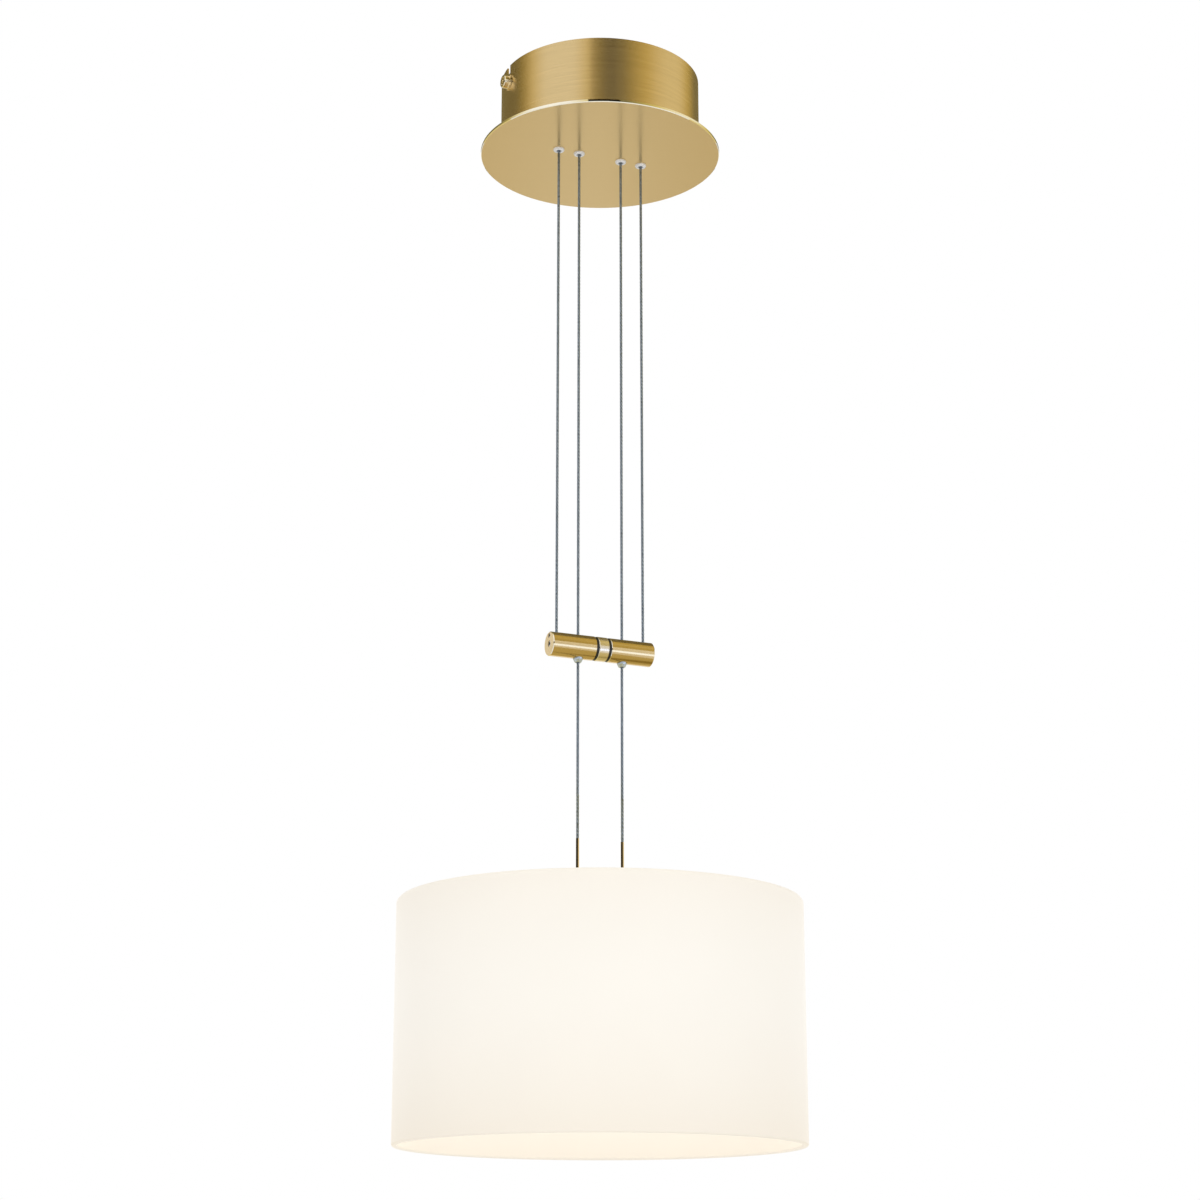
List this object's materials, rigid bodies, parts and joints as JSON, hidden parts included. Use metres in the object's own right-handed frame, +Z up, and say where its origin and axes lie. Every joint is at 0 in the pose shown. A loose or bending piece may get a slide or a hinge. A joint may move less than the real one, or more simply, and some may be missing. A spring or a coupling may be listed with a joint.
{
  "type": "rise and fall pendant",
  "caption": "Rise and fall ceiling pendant: brass canopy with rope pulleys, a balance bar with a rope brake, and an opal glass drum shade that slides up and down.",
  "frame": {"origin": "middle of the ceiling bracket's slots, in the plane of the ceiling", "axes": "+Z up to the ceiling, +X along the row of ropes and the cross bar"},
  "size_m": [0.25, 0.25, 0.704],
  "materials": {
    "canopy_brass": "brushed satin brass, lacquered",
    "bar_brass": "brushed satin brass, lacquered",
    "polished_brass": "polished",
    "contact_brass": "plain rolled brass",
    "nickel": "nickel plated",
    "zinc_steel": "zinc plated",
    "rope_steel": "stranded stainless steel",
    "white_ceramic": "glazed",
    "raw_ceramic": "unglazed steatite",
    "nylon": "moulded, natural",
    "black_plastic": "turned, satin black",
    "transformer_case": "moulded, light grey",
    "terminal_plastic": "moulded, white",
    "silicone": "translucent silicone",
    "lead_insulation": "silicone sleeve",
    "opal_glass": "opal, satin, lit from inside",
    "clear_glass": "clear quartz"
  },
  "bodies": {
    "canopy": {"ceiling_bracket": "zinc_steel", "side_screws": "polished_brass", "canopy_drum": "canopy_brass", "drum_flange_ring": "canopy_brass", "canopy_plate": "canopy_brass", "plate_studs": "zinc_steel", "stud_nuts": "zinc_steel", "rope_eyelets": "white_ceramic", "transformer": "transformer_case", "terminal_block": "terminal_plastic", "terminal_screws": "zinc_steel", "right_pulley_block": "nylon", "left_pulley_block": "nylon", "right_pulley_axle": "zinc_steel", "left_pulley_axle": "zinc_steel", "right_contact_strip": "contact_brass", "left_contact_strip": "contact_brass", "contact_screws": "zinc_steel", "mains_leads": "lead_insulation", "feed_leads": "lead_insulation", "right_rope_pulley_turn": "rope_steel", "left_rope_pulley_turn": "rope_steel"},
    "right_pulley": {"right_pulley": "contact_brass"},
    "left_pulley": {"left_pulley": "contact_brass"},
    "bar": {"right_bar_sleeve": "bar_brass", "left_bar_sleeve": "bar_brass", "bar_centre_ring": "polished_brass", "bar_insulating_rings": "black_plastic", "bar_core": "black_plastic", "rope_clamp_screws": "zinc_steel", "brake_adjusters": "zinc_steel", "brake_plungers": "contact_brass", "brake_springs": "zinc_steel", "bar_rope_bushes": "nickel", "right_rope_bar_fall": "rope_steel", "left_rope_bar_fall": "rope_steel"},
    "lamp": {"right_rope_lamp_fall": "rope_steel", "left_rope_lamp_fall": "rope_steel", "right_rod": "polished_brass", "left_rod": "polished_brass", "rod_insulators": "black_plastic", "shade_glass": "opal_glass", "upper_gasket": "silicone", "lower_gasket": "silicone", "holder_plate": "canopy_brass", "clamp_disc": "zinc_steel", "threaded_tube": "contact_brass", "holder_nut": "polished_brass", "clamp_nut": "contact_brass", "socket_carrier": "raw_ceramic", "rod_terminals": "contact_brass", "rod_screws": "zinc_steel", "contact_links": "contact_brass", "lamp_socket": "raw_ceramic", "socket_screws": "zinc_steel", "lamp_capsule": "clear_glass", "lamp_pins": "zinc_steel"}
  },
  "joints": [
    {"name": "lamp_slide", "type": "slide", "parent": "canopy", "child": "lamp", "axis": [0, 0, -1], "range_m": [-0.054, 0.325], "deforming": ["right_rope_lamp_fall", "left_rope_lamp_fall"]},
    {"name": "bar_slide", "type": "slide", "parent": "canopy", "child": "bar", "axis": [0, 0, 1], "range_m": [-0.054, 0.325], "deforming": ["right_rope_bar_fall", "left_rope_bar_fall"]},
    {"name": "left_pulley_spin", "type": "hinge", "parent": "canopy", "child": "left_pulley", "pos_m": [-0.0226, 0, -0.0374], "axis": [0, 1, 0], "range_deg": [-425, 2525]},
    {"name": "right_pulley_spin", "type": "hinge", "parent": "canopy", "child": "right_pulley", "pos_m": [0.0226, 0, -0.0374], "axis": [0, -1, 0], "range_deg": [-425, 2525]}
  ],
  "couplings": [
    {"joint": "bar_slide", "follows": "lamp_slide", "ratio": 1},
    {"joint": "left_pulley_spin", "follows": "lamp_slide", "rad_per_m": 135.14},
    {"joint": "right_pulley_spin", "follows": "lamp_slide", "rad_per_m": 135.14}
  ]
}
